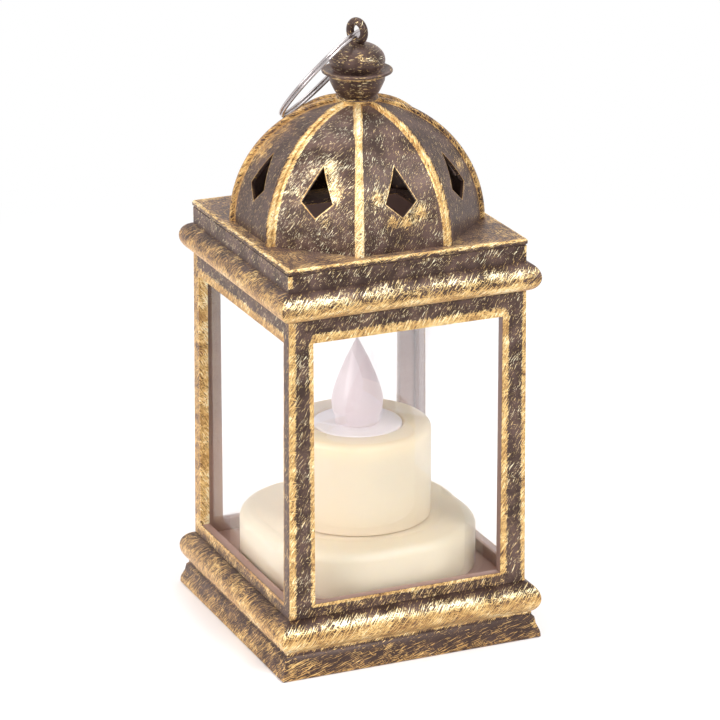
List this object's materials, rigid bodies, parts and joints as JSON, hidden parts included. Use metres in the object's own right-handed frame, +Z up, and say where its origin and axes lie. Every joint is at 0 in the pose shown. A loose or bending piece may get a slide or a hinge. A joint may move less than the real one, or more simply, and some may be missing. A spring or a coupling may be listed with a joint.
{
  "type": "candle lantern",
  "caption": "Small square lantern with clear panes, a ribbed vented dome, a finial with a hanging ring, and a battery candle with a flame-shaped light.",
  "frame": {"origin": "middle of the base's underside, on the surface that the lantern stands on", "axes": "+Z up; -Y out of the pane seen on the right of the picture; -X out of the pane seen on its left"},
  "size_m": [0.0602, 0.0602, 0.1331],
  "materials": {
    "bronze_paint": "dark bronze plastic, dry-brushed with gold",
    "clear_pane": "clear, faintly tinted",
    "cream_plastic": "satin cream, like wax",
    "white_plastic": "satin white",
    "flame_plastic": "translucent pinkish white",
    "lamp_plastic": "clear lamp resin",
    "steel": "bright plated steel",
    "black_plastic": "moulded black",
    "board_laminate": "green laminate",
    "red_sheath": "red insulation",
    "black_sheath": "black insulation"
  },
  "bodies": {
    "lantern": {"base": "bronze_paint", "cage": "bronze_paint", "pane_front": "clear_pane", "pane_back": "clear_pane", "pane_left": "clear_pane", "pane_right": "clear_pane", "cornice": "bronze_paint", "roof": "bronze_paint", "finial": "bronze_paint", "finial_screw": "steel", "candle_foot": "cream_plastic", "candle_cup": "cream_plastic", "wick_plate": "white_plastic", "flame": "flame_plastic", "led": "lamp_plastic", "circuit_board": "board_laminate", "lead_positive": "red_sheath", "lead_switch": "red_sheath", "lead_negative": "black_sheath", "bottom_cover": "black_plastic", "cover_screw_1": "steel", "cover_screw_2": "steel", "cover_screw_3": "steel", "cover_screw_4": "steel", "battery_cell": "steel", "contact_negative": "steel", "contact_positive": "steel", "switch_body": "black_plastic"},
    "ring": {"hanging_ring": "steel"},
    "cap": {"battery_cap": "black_plastic"},
    "knob": {"switch_knob": "white_plastic"}
  },
  "joints": [
    {"name": "ring_swing", "type": "hinge", "parent": "lantern", "child": "ring", "pos_m": [0, 0, 0.12965], "axis": [0.7071, 0.7071, 0], "range_deg": [0, 279]},
    {"name": "cap_twist", "type": "hinge", "parent": "lantern", "child": "cap", "pos_m": [-0.003, -0.005, 0.0012], "axis": [0, 0, 1], "range_deg": [0, 60]},
    {"name": "switch_slide", "type": "slide", "parent": "lantern", "child": "knob", "axis": [1, 0, 0], "range_m": [0, 0.002]}
  ]
}
